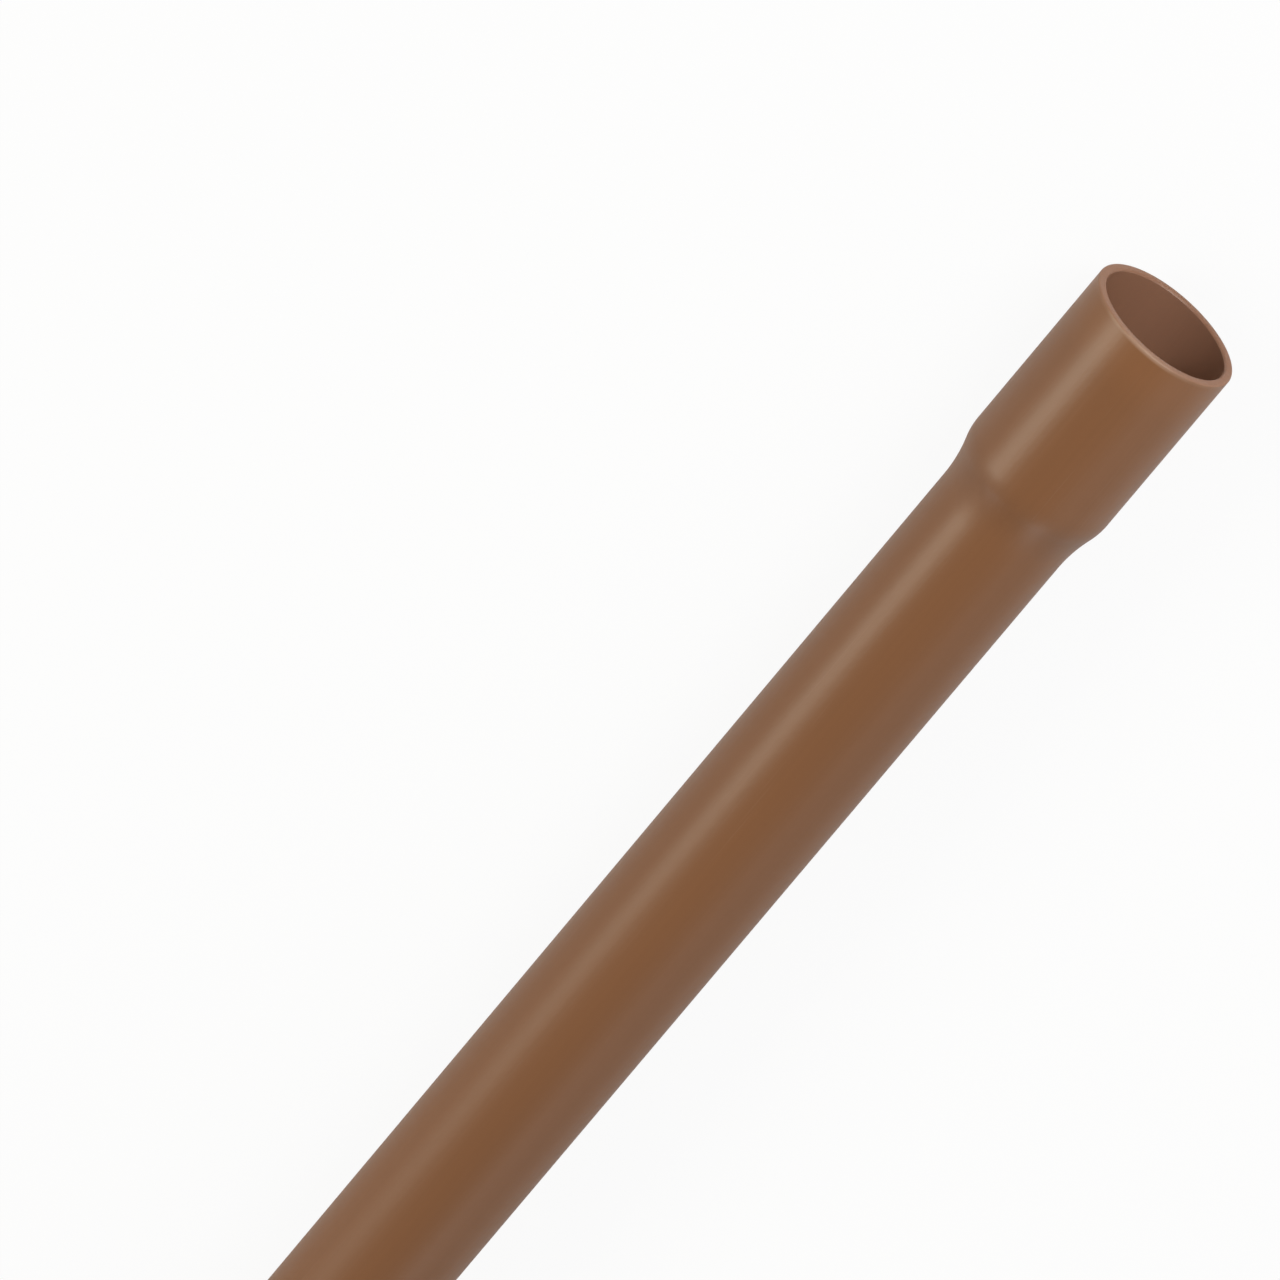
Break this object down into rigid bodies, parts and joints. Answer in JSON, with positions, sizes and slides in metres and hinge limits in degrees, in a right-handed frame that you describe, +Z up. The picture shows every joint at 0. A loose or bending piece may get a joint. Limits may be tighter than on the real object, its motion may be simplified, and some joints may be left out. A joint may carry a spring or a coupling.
{
  "type": "pvc pipe",
  "caption": "Straight brown PVC pressure pipe with a plain spigot end and a formed bell socket at the other, for cementing lengths and fittings into a cold-water line.",
  "frame": {"origin": "on the floor, below the middle of the pipe's length", "axes": "+X along the pipe's axis, towards the socket's mouth; +Z up; the pipe lies on its side on z = 0"},
  "size_m": [3, 0.0284, 0.0284],
  "materials": {
    "pvc_brown": "satin"
  },
  "bodies": {
    "root": {"pipe": "pvc_brown"}
  },
  "joints": []
}
